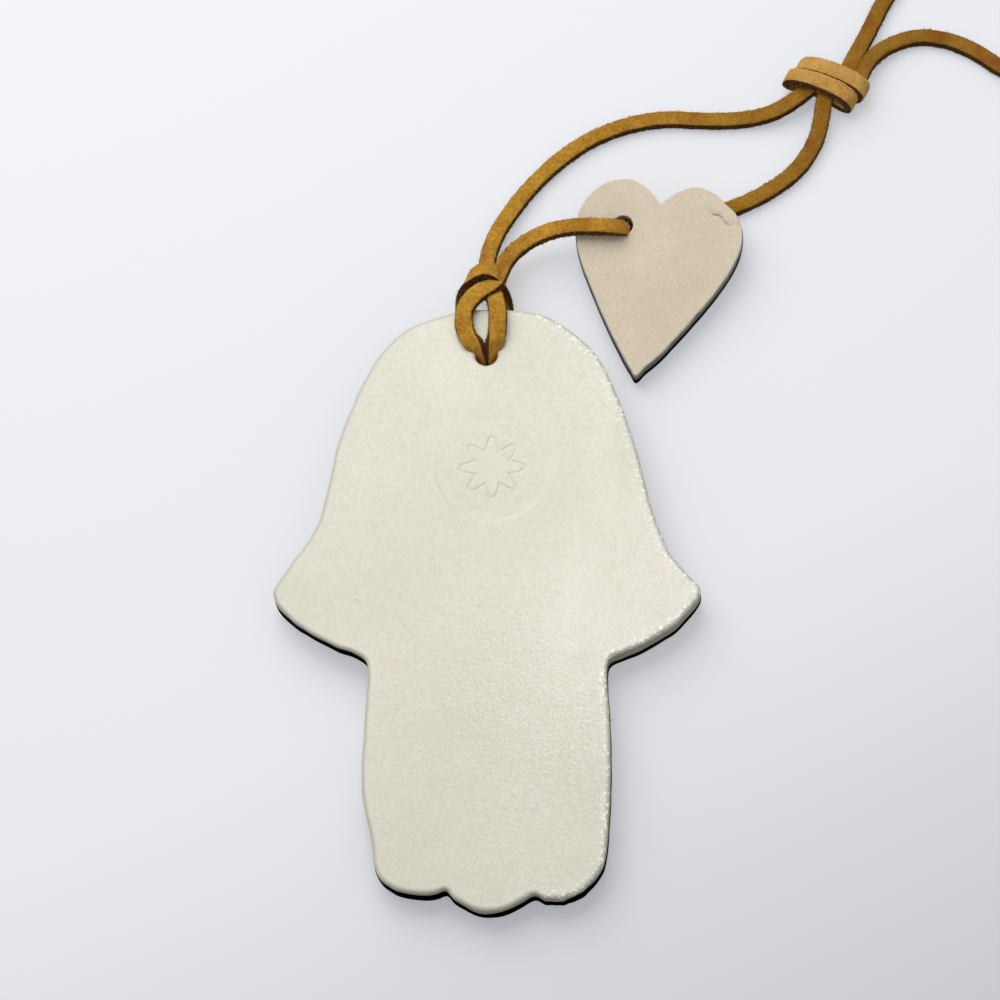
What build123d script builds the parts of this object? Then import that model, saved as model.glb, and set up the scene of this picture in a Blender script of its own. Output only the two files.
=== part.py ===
from build123d import *
import os
from math import asin, degrees, radians, sin, tan

# A ceramic hamsa hand that hangs on a flat suede lace, with a small ceramic heart on the same lace.
# It lies as it would on a table: back face up, fingers towards -Y, and the lace laid out above it.
# Millimetres. +Z is up and the table is z = 0. The origin is on the table, under the middle of hand and heart.

# Hand slab: its own frame has x across from its middle line, y up from the middle finger, z from front to back
hand_length = 112.5
hand_width = 75.0
hand_thickness = 5.8
hand_back_bevel = 0.7
hand_front_bevel = 1.0
hand_middle_x = -4.7
hand_dome_y = 43.1
hand_hole_bore = 5.2
hand_hole_drop = 11.0
hand_hole_rim = 0.4

# Round press mark in the back of the palm
press_mark_bore = 21.0
press_mark_depth = 0.25
press_mark_side = 1.1
press_mark_height = 80.6

# Grooves that part the fingers on the front face
finger_groove_radius = 1.1
finger_groove_depth = 0.8
finger_groove_length = 43.0
finger_groove_lean = 1.5
finger_groove_fade = 5.0

# Glaze coat on the front faces
glaze_thickness = 0.35
glaze_hole_rim = 0.2

# Heart slab: its own frame has x across from its middle line, y up from its tip, z from front to back
heart_height = 40.9
heart_width = 30.6
heart_thickness = 4.2
heart_back_bevel = 0.45
heart_front_bevel = 0.8
heart_lean = 8.9
heart_tip_x = 21.9
heart_tip_y = 28.3
heart_stand_height = 0.8
heart_hole_bore = 4.0
heart_hole_rim = 0.4
heart_hole_side = 6.0
heart_hole_height = 30.6

# Flat suede lace
lace_width = 3.0
lace_thickness = 1.8
lace_bed_gap = 0.1
heart_rest_gap = 0.3
hole_run = 4.2
hole_run_turn = 5.0

# Swing of the lace at the hitch: the strands start outside a round joint
swing_x = -3.4
swing_y = 50.4
swing_radius = 3.0
swing_gap = 0.3

# Overhand knot: two turns of lace over two strands that pass through
knot_x = 59.0
knot_y = 88.4
knot_turn = -23.0
knot_band_length = 13.2
knot_band_pitch = 3.3
knot_band_skew = 1.3
knot_opening = 2.2
knot_end_share = 0.42

# Overrun of every cutting tool
cut_over = 1.0

# Hand outline as shares of half the hand's width and of its length, anticlockwise from the dome's top
dome_left_shares = [
    (0.0, 1.0),
    (-0.3, 0.982),
    (-0.53, 0.922),
    (-0.67, 0.815),
    (-0.77, 0.67),
    (-0.865, 0.59),
]
left_thumb_shares = [
    (-0.985, 0.54),
    (-1.015, 0.507),
    (-0.93, 0.471),
    (-0.715, 0.419),
    (-0.555, 0.398),
]
left_side_shares = [
    (-0.555, 0.31),
    (-0.577, 0.2),
    (-0.51, 0.07),
    (-0.42, 0.032),
]
finger_end_shares = [
    (-0.27, 0.024),
    (-0.183, 0.034),
    (-0.09, 0.008),
    (0.02, -0.004),
    (0.13, 0.012),
    (0.222, 0.032),
    (0.29, 0.011),
    (0.38, 0.017),
]
right_side_shares = [
    (0.495, 0.05),
    (0.567, 0.16),
    (0.56, 0.39),
]
right_thumb_shares = [
    (0.7, 0.411),
    (0.9, 0.452),
    (1.008, 0.489),
    (0.99, 0.514),
]
dome_right_shares = [
    (0.84, 0.585),
    (0.745, 0.7),
    (0.655, 0.84),
    (0.51, 0.93),
    (0.28, 0.985),
]
hand_outline_shares = (
    dome_left_shares
    + left_thumb_shares
    + left_side_shares
    + finger_end_shares
    + right_side_shares
    + right_thumb_shares
    + dome_right_shares
)

# Places where the finger grooves start, as shares of half the width and of the length
finger_notch_shares = [(-0.183, 0.034), (0.222, 0.032)]

# Heart outline as shares of half its width and of its height, anticlockwise from its tip
heart_tip_shares = [(-0.045, 0.0), (0.045, 0.0)]
heart_right_shares = [
    (0.45, 0.225),
    (0.82, 0.47),
    (1.03, 0.65),
    (1.05, 0.79),
    (0.86, 0.91),
    (0.6, 0.995),
    (0.34, 1.005),
    (0.08, 0.925),
]
heart_cleft_shares = [(0.0, 0.882)]
heart_left_shares = [
    (-0.08, 0.925),
    (-0.3, 1.005),
    (-0.62, 1.0),
    (-0.9, 0.9),
    (-1.0, 0.74),
    (-0.86, 0.55),
    (-0.45, 0.25),
]
heart_outline_shares = heart_tip_shares + heart_right_shares + heart_cleft_shares + heart_left_shares

# Routes of the lace's middle line, chosen by hand along the laid-out lace
plain_strand_route = [
    (-4.95, 52.2, 4.2),
    (-4.4, 56.6, 3.2),
    (-2.6, 62.2, 1.8),
    (2.9, 70.8, 1.0),
    (10.3, 78.2, 1.0),
    (18.6, 82.9, 1.0),
    (27.7, 84.9, 1.0),
    (36.6, 83.9, 1.0),
    (44.4, 83.9, 1.0),
    (50.0, 85.0, 2.0),
    (54.6, 87.9, 2.9),
]
heart_strand_start_route = [
    (-1.85, 52.2, 4.2),
    (0.2, 55.8, 4.6),
    (5.2, 58.4, 6.0),
    (10.6, 59.2, 7.4),
]
heart_strand_end_route = [
    (33.4, 63.0, 1.0),
    (41.2, 65.1, 1.0),
    (47.4, 68.5, 1.0),
    (52.7, 72.9, 1.0),
    (56.2, 78.6, 1.2),
    (57.6, 83.0, 2.4),
    (58.7, 87.0, 2.9),
]
hanging_loop_route = [
    (61.2, 90.6, 2.9),
    (63.4, 95.0, 2.7),
    (65.2, 98.6, 1.6),
    (70.6, 108.6, 1.0),
    (79.0, 120.6, 1.0),
    (93.0, 128.0, 1.0),
    (108.6, 124.6, 1.0),
    (117.4, 112.0, 1.0),
    (116.0, 96.6, 1.0),
    (105.0, 87.4, 1.0),
    (94.0, 91.8, 1.0),
    (86.4, 98.6, 1.0),
    (78.2, 101.3, 1.0),
    (71.2, 99.6, 1.2),
    (66.8, 95.6, 2.2),
    (64.4, 90.4, 2.9),
]

# Route of the two legs of the hitch over the dome's edge, and of the bight that ties them down
hitch_left_leg_route = [
    (-5.6, 33.2, 8.75),
    (-7.9, 36.2, 8.8),
    (-8.7, 40.2, 8.9),
    (-7.9, 44.2, 8.8),
    (-5.9, 47.4, 6.4),
    (-4.95, 50.6, 4.9),
    (-4.95, 54.4, 4.2),
]
hitch_right_leg_route = [
    (-3.8, 33.2, 8.75),
    (-2.4, 38.6, 8.9),
    (-1.9, 44.2, 8.8),
    (-1.7, 47.4, 6.4),
    (-1.85, 50.6, 4.9),
    (-1.85, 54.4, 4.2),
]
hitch_bight_route = [
    (-6.2, 33.0, 0.97),
    (-8.9, 39.6, 0.97),
    (-9.9, 45.4, 1.3),
    (-9.0, 49.0, 4.1),
    (-5.9, 51.2, 6.9),
    (-2.9, 51.2, 6.9),
    (0.3, 49.0, 4.1),
    (1.0, 45.4, 1.3),
    (-0.4, 39.6, 0.97),
    (-3.2, 33.0, 0.97),
]

# How far along its shorter run each corner's arc starts, on the outlines and on the lace's routes
outline_arc_share = 0.49
route_arc_share = 0.45

# Worked out from the sizes above
hand_foot_y = hand_dome_y - hand_length
hand_hole_height = hand_length * dome_left_shares[0][1] - hand_hole_drop
hand_tilt = degrees(asin((lace_thickness + lace_bed_gap) / (hand_hole_height - hand_front_bevel)))
heart_tilt = degrees(asin((lace_thickness + heart_rest_gap) / heart_hole_height))
hand_place = Pos(hand_middle_x, hand_foot_y, -hand_front_bevel * sin(radians(hand_tilt))) * Rot(hand_tilt, 0, 0)
heart_sink = heart_stand_height * sin(radians(heart_tilt))
heart_place = Pos(heart_tip_x, heart_tip_y, -heart_sink) * Rot(0, 0, -heart_lean) * Rot(heart_tilt, 0, 0)


def sized(shares, half_width, length):
    """The points of an outline, from their shares of a half width and a length."""
    return [(x * half_width, y * length) for x, y in shares]


def corner_radii(points, arc_share):
    """The radius of each inner corner's arc: a share of its shorter run over the tangent of half its turn."""
    steps = [Vector(*b) - Vector(*a) for a, b in zip(points, points[1:])]
    radii = []
    for before, after in zip(steps, steps[1:]):
        half_turn = radians(before.get_angle(after)) / 2
        radii.append(arc_share * min(before.length, after.length) / tan(half_turn))
    return radii


def outline_curve(shares, half_width, length):
    """A closed outline of short straight runs and tangent arcs round an outline's points."""
    points = sized(shares, half_width, length)
    radii = corner_radii([points[-1], *points, points[0]], outline_arc_share)
    return FilletPolyline(*points, radius=radii, close=True)


def softened_slab(curve, thickness, front_bevel, back_bevel):
    """A slab with its front and back edges bevelled, front face on z = 0."""
    slab = extrude(make_face(curve), thickness)
    slab = chamfer(slab.faces().sort_by(Axis.Z)[-1].edges(), back_bevel)
    return chamfer(slab.faces().sort_by(Axis.Z)[0].edges(), front_bevel)


def split_coat(slab):
    """(clay, glaze): the glaze is the slab's thin front layer."""
    level = Plane.XY.offset(glaze_thickness)
    return slab.split(level, keep=Keep.TOP), slab.split(level, keep=Keep.BOTTOM)


def drilled(solid, x, y, bore, rim, top):
    """The solid with a hole right through it, whose rim is bevelled at one end."""
    solid = solid - Pos(x, y, 0) * Cylinder(bore / 2, (hand_thickness + cut_over) * 2)
    rims = solid.edges().filter_by(GeomType.CIRCLE)
    rims = rims.filter_by(lambda edge: (edge.arc_center - Vector(x, y, edge.arc_center.Z)).length < rim)
    return chamfer(rims.sort_by(Axis.Z)[-1 if top else 0], rim)


def finger_grooves(growth):
    """The cutters of the front face's two grooves, larger by a coat where they cut the clay."""
    radius = finger_groove_radius + growth
    cutters = []
    for (x, y), way in zip(sized(finger_notch_shares, hand_width / 2, hand_length), (-1, 1)):
        bar = Cylinder(radius, finger_groove_length, align=(Align.CENTER, Align.CENTER, Align.MIN))
        bar += Pos(0, 0, finger_groove_length) * Cone(
            radius, 0, finger_groove_fade, align=(Align.CENTER, Align.CENTER, Align.MIN)
        )
        depth = finger_groove_depth - finger_groove_radius
        cutters.append(Pos(x, y, depth) * Rot(0, 0, way * finger_groove_lean) * Rot(-90, 0, 0) * bar)
    return cutters


def make_hand():
    """Clay and front glaze of the hand; the glaze lines the grooves."""
    curve = outline_curve(hand_outline_shares, hand_width / 2, hand_length)
    clay, glaze = split_coat(softened_slab(curve, hand_thickness, hand_front_bevel, hand_back_bevel))
    for groove, lined_groove in zip(finger_grooves(0), finger_grooves(glaze_thickness)):
        glaze = glaze + (clay & lined_groove) - groove
        clay = clay - lined_groove
    mark = Pos(press_mark_side, press_mark_height, hand_thickness - press_mark_depth) * Cylinder(
        press_mark_bore / 2, cut_over, align=(Align.CENTER, Align.CENTER, Align.MIN)
    )
    clay = drilled(clay - mark, 0, hand_hole_height, hand_hole_bore, hand_hole_rim, top=True)
    glaze = drilled(glaze, 0, hand_hole_height, hand_hole_bore, glaze_hole_rim, top=False)
    return hand_place * clay, hand_place * glaze


def make_heart():
    """Clay and front glaze of the heart."""
    curve = outline_curve(heart_outline_shares, heart_width / 2, heart_height)
    clay, glaze = split_coat(softened_slab(curve, heart_thickness, heart_front_bevel, heart_back_bevel))
    clay = drilled(clay, -heart_hole_side, heart_hole_height, heart_hole_bore, heart_hole_rim, top=True)
    glaze = drilled(glaze, -heart_hole_side, heart_hole_height, heart_hole_bore, glaze_hole_rim, top=False)
    return heart_place * clay, heart_place * glaze


def level_roll(points):
    """The roll at a route's start that brings the lace level on the last flat run, as it turns at each corner."""
    steps = [Vector(*b) - Vector(*a) for a, b in zip(points, points[1:])]
    last_flat = max(i for i, step in enumerate(steps) if step.Z == 0)
    side = steps[0].cross(Vector(0, 0, 1))
    for before, after in zip(steps[:last_flat], steps[1:]):
        side = side.rotate(Axis(Vector(0, 0, 0), before.cross(after)), before.get_angle(after))
    return side.get_signed_angle(steps[last_flat].cross(Vector(0, 0, 1)), steps[last_flat])


def strap(name, points, roll=0.0):
    """Flat lace along a route: a rectangle swept on straight runs and tangent arcs."""
    radii = corner_radii(points, route_arc_share)
    path = FilletPolyline(*points, radius=radii)
    ahead = Vector(*points[1]) - Vector(*points[0])
    across = ahead.cross(Vector(0, 0, 1))
    section = Plane(origin=points[0], x_dir=across, z_dir=ahead) * Rot(0, 0, roll) * Rectangle(
        lace_width, lace_thickness
    )
    solid = sweep(section, path=path)
    length = sum(edge.length for edge in path.edges())
    share = solid.volume / (section.area * length)
    print(name, "length", round(length, 1), "volume share", round(share, 4), "radii", [round(r, 1) for r in radii])
    return solid


def swing_cylinder(radius):
    """A tall round cutter about the axis on which the lace swings."""
    return Pos(swing_x, swing_y, 0) * Cylinder(radius, hand_length, align=(Align.CENTER, Align.CENTER, Align.CENTER))


def heart_strand_route():
    """Over the heart's back, down through its hole, and out under its front."""
    side = heart_place * Pos(-heart_hole_side, heart_hole_height, 0)
    over = (side * Pos(0, 0, heart_thickness + heart_rest_gap + lace_thickness / 2)).position
    mouth = side.position
    bore = over - mouth
    under = over - bore * ((over.Z - lace_thickness / 2) / bore.Z)
    along = Vector(hole_run, 0, 0).rotate(Axis.Z, hole_run_turn)
    before = over - along
    after = under + along
    middle = [tuple(p) for p in (before, over, under, after)]
    return heart_strand_start_route + middle + heart_strand_end_route


def make_hitch():
    """Cow hitch over the dome's edge: two legs on the back, the bight round them, and the turn in the hole."""
    legs = strap("hitch left leg", hitch_left_leg_route) + strap("hitch right leg", hitch_right_leg_route)
    above = Pos(swing_x, swing_y + hand_length / 2, 0) * Box(hand_width, hand_length, hand_length)
    legs = (legs - above) + (legs & swing_cylinder(swing_radius))
    bight = strap("hitch bight", hitch_bight_route)
    turn_height = hand_thickness + 2 * lace_thickness
    turn = Box(2 * lace_thickness + lace_bed_gap, lace_width, turn_height)
    hole = hand_place * Pos(0, hand_hole_height, hand_thickness / 2)
    return legs + bight + hole * turn


def make_knot():
    """Overhand knot: two flat turns side by side round the folded lace inside them."""
    outer_height = knot_opening + 2 * lace_thickness
    centre = Pos(knot_x, knot_y, outer_height / 2) * Rot(0, 0, knot_turn)
    outline = RectangleRounded(knot_band_length, outer_height, outer_height * knot_end_share)
    band = extrude(Rot(90, 0, 0) * outline, lace_width / 2, both=True)
    inner_length = knot_band_length - 2 * lace_thickness
    inside = centre * Box(inner_length, knot_band_pitch + lace_width / 2, knot_opening)
    turns = [centre * Pos(way * knot_band_skew / 2, way * knot_band_pitch / 2, 0) * band for way in (-1, 1)]
    return turns[0] + turns[1] + inside


def make_parts():
    """Every node's solids by name."""
    hand_clay, hand_glaze = make_hand()
    heart_clay, heart_glaze = make_heart()
    clear = swing_cylinder(swing_radius + swing_gap)
    knot = make_knot()
    heart_route = heart_strand_route()
    return {
        "hand_clay": hand_clay,
        "hand_front_glaze": hand_glaze,
        "heart_clay": heart_clay,
        "heart_front_glaze": heart_glaze,
        "lace_hitch": make_hitch(),
        "lace_plain_strand": strap("plain strand", plain_strand_route, level_roll(plain_strand_route)) - clear - knot,
        "lace_heart_strand": strap("heart strand", heart_route, level_roll(heart_route)) - clear - knot,
        "lace_knot": knot,
        "lace_hanging_loop": strap("hanging loop", hanging_loop_route, level_roll(hanging_loop_route)) - knot,
    }


os.makedirs("parts", exist_ok=True)
for node, solids in make_parts().items():
    box = solids.bounding_box()
    print(node, len(solids.solids()), "solid", round(solids.volume, 1), "mm3", box.min, box.max)
    export_step(solids, f"parts/{node}.step")
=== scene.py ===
# %% [markdown]
# # A ceramic hamsa hand on a suede lace
# A hamsa is a hand-shaped charm for a wall. This one is cut from a slab of light clay, lies with its back
# up, and hangs on a flat suede lace that also carries a small clay heart. The frame's solids give every place
# and size; the cells below build finer surfaces around them and then give each its finish.

# %% Load the frame
import math

import bpy
import numpy as np
from mathutils import Matrix, Vector


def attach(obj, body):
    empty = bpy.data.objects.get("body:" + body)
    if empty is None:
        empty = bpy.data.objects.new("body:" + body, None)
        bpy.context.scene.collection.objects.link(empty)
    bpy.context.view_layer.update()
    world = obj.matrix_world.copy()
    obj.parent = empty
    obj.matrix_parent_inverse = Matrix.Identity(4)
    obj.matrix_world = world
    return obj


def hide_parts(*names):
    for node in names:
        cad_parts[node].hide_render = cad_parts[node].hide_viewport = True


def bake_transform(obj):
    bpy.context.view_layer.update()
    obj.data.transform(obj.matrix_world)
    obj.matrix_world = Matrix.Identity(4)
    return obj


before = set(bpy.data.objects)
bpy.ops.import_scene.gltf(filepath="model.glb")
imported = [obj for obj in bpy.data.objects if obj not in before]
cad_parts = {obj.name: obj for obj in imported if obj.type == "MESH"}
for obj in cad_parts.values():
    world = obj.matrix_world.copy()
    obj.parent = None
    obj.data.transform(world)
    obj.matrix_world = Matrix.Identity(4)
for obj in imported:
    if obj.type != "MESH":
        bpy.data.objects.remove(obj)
scene = bpy.context.scene
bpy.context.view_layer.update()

# %% [markdown]
# ## The camera
# The ornament was seen from above its fingers, from about two thirds of the way up to straight overhead. A
# camera is placed by where its eye is, what it looks at and which way is up. Here the table's +Y is kept
# upright in the picture, because the hand hangs straight in it.

# %% Camera
mm = 0.001
eye = Vector((27.33, -193.15, 478.66)) * mm
look_at = Vector((-2.7, 7.8, 0.0)) * mm
field_degrees = 19.64

view_line = (look_at - eye).normalized()
camera_up = (Vector((0, 1, 0)) - view_line * view_line.y).normalized()
camera_right = view_line.cross(camera_up)
camera_data = bpy.data.cameras.new("photo_camera")
camera_data.angle = math.radians(field_degrees)
camera = bpy.data.objects.new("photo_camera", camera_data)
camera_axes = Matrix((camera_right, camera_up, -view_line)).transposed()
camera.matrix_world = Matrix.Translation(eye) @ camera_axes.to_4x4()
scene.collection.objects.link(camera)
bpy.context.scene.camera = camera
print("camera is", round((look_at - eye).length, 3), "m from the table's middle")

# %% [markdown]
# ## Meshes from arrays
# Every new surface here is a grid of points: rows along the piece and columns round it. Such shapes could be
# pushed and pulled in Edit Mode too, but a formula can be read, repeated and corrected. Numpy works out all
# the points at once, and one helper turns any such grid into a closed mesh, which can be weighed, printed
# and cut.


# %% Faces of a grid
def grid_faces(rows, columns):
    """Quads between the points of a grid that closes on itself across its columns."""
    row, column = np.meshgrid(np.arange(rows - 1), np.arange(columns), indexing="ij")
    ahead = (column + 1) % columns
    near, beyond = row * columns, (row + 1) * columns
    corners = (near + column, near + ahead, beyond + ahead, beyond + column)
    return np.stack(corners, axis=-1).reshape(-1, 4)


def cap_faces(first, columns, pole, flip):
    """Triangles from one ring of points to a pole."""
    column = np.arange(columns)
    ahead = (column + 1) % columns
    ring = np.stack((first + ahead, first + column, np.full(columns, pole)), axis=-1)
    return ring[:, ::-1] if flip else ring


# %% Closed meshes
def closed_mesh(name, grid, facts=None, extra=None):
    """A closed mesh from a grid of rings: quads between rings and a fan to the middle of each end ring."""
    rows, columns, _ = grid.shape
    poles = np.stack((grid[0].mean(axis=0), grid[-1].mean(axis=0)))
    points = np.concatenate((grid.reshape(-1, 3), poles))
    faces = grid_faces(rows, columns).tolist()
    faces += cap_faces(0, columns, rows * columns, False).tolist()
    faces += cap_faces((rows - 1) * columns, columns, rows * columns + 1, True).tolist()
    extra_points, extra_faces, extra_facts = extra or (np.zeros((0, 3)), np.zeros((0, 3), int), {})
    faces += (extra_faces + len(points)).tolist()
    mesh = bpy.data.meshes.new(name)
    mesh.from_pydata(np.concatenate((points, extra_points)).tolist(), [], faces)
    for fact, values in (facts or {}).items():
        ends = [values[0].mean(), values[-1].mean()]
        more = extra_facts.get(fact, np.zeros(len(extra_points)))
        layer = mesh.attributes.new(fact, "FLOAT", "POINT")
        layer.data.foreach_set("value", np.concatenate((values.ravel(), ends, more)).astype(np.float32))
    mesh.polygons.foreach_set("use_smooth", np.ones(len(mesh.polygons), bool))
    mesh.update()
    piece = bpy.data.objects.new(name, mesh)
    scene.collection.objects.link(piece)
    print(name, len(mesh.vertices), "points", len(mesh.polygons), "faces")
    return piece


# %% Steps and ripples
def soft_step(values, start, end):
    """0 before start, 1 after end, and a smooth climb between them."""
    share = np.clip((values - start) / (end - start), 0, 1)
    return share * share * (3 - 2 * share)


def ripples(x, y, seed, wavelength, count=24):
    """Smooth unevenness, mostly from -1 to 1: sine waves of about one wavelength, in all directions."""
    draw = np.random.default_rng(seed)
    angle = draw.uniform(0, 2 * np.pi, count)
    length = wavelength * draw.uniform(0.6, 1.7, count)
    phase = draw.uniform(0, 2 * np.pi, count)
    total = np.zeros(np.broadcast(x, y).shape)
    for a, w, p in zip(angle, length, phase):
        total += np.sin((x * np.cos(a) + y * np.sin(a)) * 2 * np.pi / w + p)
    return total / math.sqrt(count)


# %% [markdown]
# ## The lace's routes
# The lace is one flat strip of suede. It is limp, so it lies in loose curves on the table, climbs over the
# heart's edge and goes down through its hole. Each stretch is a smooth line led by a few guide points, the
# way a draughtsman bends a spline. It could be drawn in Edit Mode, but Blender's NURBS curve of order 3 does
# the same from a list, and its points are read back to carry a flat section along them.


# %% Smooth lines
def smooth_line(route, spacing):
    """Evenly spaced points along the NURBS line that a route's points guide."""
    curve = bpy.data.curves.new("guide", "CURVE")
    curve.dimensions = "3D"
    spline = curve.splines.new("NURBS")
    spline.points.add(len(route) - 1)
    spline.points.foreach_set("co", np.c_[route, np.ones(len(route))].ravel())
    spline.order_u = 3
    spline.use_endpoint_u = True
    spline.resolution_u = 32
    guide = bpy.data.objects.new("guide", curve)
    mesh = bpy.data.meshes.new_from_object(guide)
    line = np.empty(len(mesh.vertices) * 3)
    mesh.vertices.foreach_get("co", line)
    line = line.reshape(-1, 3)
    bpy.data.objects.remove(guide)
    bpy.data.curves.remove(curve)
    bpy.data.meshes.remove(mesh)
    return even_points(line, spacing)


def distances(line):
    """How far along a line each of its points is."""
    return np.concatenate(([0], np.cumsum(np.linalg.norm(np.diff(line, axis=0), axis=1))))


def even_points(line, spacing):
    """The same line with its points at even spacing."""
    along = distances(line)
    even = np.linspace(0, along[-1], max(8, round(along[-1] / spacing)))
    return np.stack([np.interp(even, along, line[:, axis]) for axis in range(3)], axis=-1)


def unit(vectors):
    """The same directions with length 1."""
    return vectors / np.linalg.norm(vectors, axis=-1, keepdims=True)


# %% [markdown]
# ## A flat lace from a route
# A flat lace has a wide face and a narrow edge, so its roll matters as much as its line. A curve with a bevel
# would give a strip as well, but its roll is hard to steer round a hitch. Here each route point says which
# way the wide face looks. Between the points that direction is blended and then made square to the line, so
# the lace twists slowly as suede does. The section is a rectangle with worn corners, small ripples make the
# skin and the cut edges uneven, and loose fibres stand out of the cut edges.

# %% Sizes of the lace
lace_width = 3.0 * mm
lace_thickness = 1.8 * mm
pinched_width = 2.5 * mm
section_count = 32
section_squareness = 0.36
skin_radius = 1.6
lace_step = 0.18 * mm
fibres_per_mm = 20
thirds_of_a_turn = (0.0, 2.094, 4.189)
table_gap = 0.03 * mm
print("lace", lace_width, "m wide,", lace_thickness, "m thick")


# %% Loose fibres
def loose_fibres(line, across, face, width, seed):
    """Loose fibres of the cut edges: thin closed spikes of four points that lean out above the table."""
    draw = np.random.default_rng(seed)
    count = int(distances(line)[-1] / mm * fibres_per_mm)
    at = draw.integers(2, len(line) - 2, count)
    side = draw.choice((-1.0, 1.0), count)[:, None]
    high = draw.uniform(-1.0, 1.0, count)[:, None]
    ahead = unit(line[at + 1] - line[at - 1])
    foot = line[at] + across[at] * side * width[at, None] * 0.46 + face[at] * high * lace_thickness * 0.44
    lean = across[at] * side + face[at] * (high * 0.7 + draw.normal(0, 0.35, (count, 1)))
    lean = unit(lean + ahead * draw.normal(0, 0.8, (count, 1)))
    reach = draw.uniform(0.25, 0.65, (count, 1)) * mm
    thick = draw.uniform(0.04, 0.07, (count, 1)) * mm
    one = unit(np.cross(lean, ahead + face[at] * 0.3))
    two = np.cross(lean, one)
    base = [foot + thick * (one * math.cos(a) + two * math.sin(a)) for a in thirds_of_a_turn]
    points = np.stack((*base, foot + lean * reach), axis=1)
    points = points[points[:, :, 2].min(axis=1) > table_gap]
    count = len(points)
    corner = np.array(((0, 2, 1), (0, 1, 3), (1, 2, 3), (2, 0, 3)))
    faces = (np.arange(count)[:, None, None] * 4 + corner).reshape(-1, 3)
    return points.reshape(-1, 3), faces, {"side": np.repeat(draw.uniform(0.0, 0.75, count), 4)}


# %% Flat lace
def squarish(wave):
    """A wave with its tops flattened, for a section with worn corners: its sign times its size to a power."""
    return np.sign(wave) * np.abs(wave) ** section_squareness


def flat_lace(name, route, faces, seed, width=lace_width):
    """A strip along a smooth line: point = line + across * width/2 * cos^k + face * thickness/2 * sin^k.

    Route points are in millimetres, faces are the directions of the wide face, k is the squareness.
    """
    route = np.array(route) * mm
    line = smooth_line(route, lace_step)
    along = distances(line)
    marks = distances(route)
    marks = marks / marks[-1] * along[-1]
    ahead = unit(np.gradient(line, axis=0))
    face = np.stack([np.interp(along, marks, np.array(faces, float)[:, axis]) for axis in range(3)], axis=-1)
    face = unit(face - ahead * np.sum(face * ahead, axis=1, keepdims=True))
    across = np.cross(face, ahead)
    width = np.interp(along, marks, np.broadcast_to(width, len(route)))
    turn = np.linspace(0, 2 * np.pi, section_count, endpoint=False)
    wide, high = squarish(np.cos(turn)), squarish(np.sin(turn))
    s, t = np.meshgrid(along / mm, turn * skin_radius, indexing="ij")
    wear = 1 + 0.02 * ripples(s, t, seed, 2.2) + 0.03 * ripples(s, t, seed + 1, 0.7)
    edge = 1 + 0.015 * ripples(s, np.sign(np.cos(t / skin_radius)), seed + 2, 9.0)
    grid = line[:, None] + (
        across[:, None] * (wide * width[:, None] / 2)[..., None] * (wear * edge)[..., None]
        + face[:, None] * (high * lace_thickness / 2)[None, :, None] * wear[..., None]
    )
    # The fact side marks both cut edges, which the suede finish paints dark: partly their own colour, partly
    # painted shade.
    side = np.broadcast_to(np.abs(wide), s.shape)
    fibres = loose_fibres(line, across, face, width, seed + 3)
    piece = closed_mesh(name, grid, {"side": side}, fibres)
    print("  length", round(along[-1] / mm, 1), "mm")
    return piece, line


# %% [markdown]
# ## The two strands, the hanging loop and their cords
# Two strands leave the hitch on the dome. The plain one takes the wider way round to the knot. The other
# climbs over the heart's lobe, goes down through its hole, where it is pinched narrower, and out under it.
# Beyond the knot the same lace makes the loop for the nail. A rope simulation could lay them too, but guide
# points put each curve where it is seen on the real one.

# %% Plain strand
UP = (0, 0, 1)
plain_route = [
    (-4.95, 50.4, 5.0), (-4.95, 52.6, 4.3), (-4.4, 56.6, 3.2), (-2.6, 62.2, 1.8),
    (2.9, 70.8, 1.0), (10.3, 78.2, 1.0), (18.6, 82.9, 1.0), (27.7, 84.9, 1.0),
    (36.6, 83.9, 1.0), (44.4, 83.9, 1.0), (50.0, 85.0, 2.0), (54.6, 87.9, 2.9),
    (57.0, 90.0, 3.0),
]
plain_strand, plain_line = flat_lace("plain_strand_suede", plain_route, [UP] * len(plain_route), seed=11)

# %% Heart strand
heart_route = [
    (-2.7, 49.6, 5.2), (-2.1, 52.4, 4.5), (0.2, 55.8, 4.6), (5.2, 58.4, 6.0),
    (10.6, 58.9, 7.5), (16.0, 58.5, 8.0), (19.6, 58.3, 7.7), (20.8, 58.7, 6.2),
    (20.7, 59.2, 3.8), (20.6, 60.0, 1.0), (25.2, 59.9, 1.0), (33.4, 63.0, 1.0),
    (41.2, 65.1, 1.0), (47.8, 68.4, 1.0), (53.5, 72.9, 1.0), (56.9, 78.6, 1.2),
    (58.1, 83.0, 2.4), (58.7, 87.0, 2.9), (59.6, 90.0, 3.0),
]
heart_faces = [UP] * 6 + [(0.35, -0.1, 0.9), (0.9, -0.1, 0.4), (1, 0, 0), (0.6, 0, 0.8)] + [UP] * 9
heart_width = [pinched_width if 3.0 < z < 7.0 and x > 20.0 else lace_width for x, _, z in heart_route]
heart_strand, heart_line = flat_lace(
    "heart_strand_suede", heart_route, heart_faces, seed=23, width=heart_width
)

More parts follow.
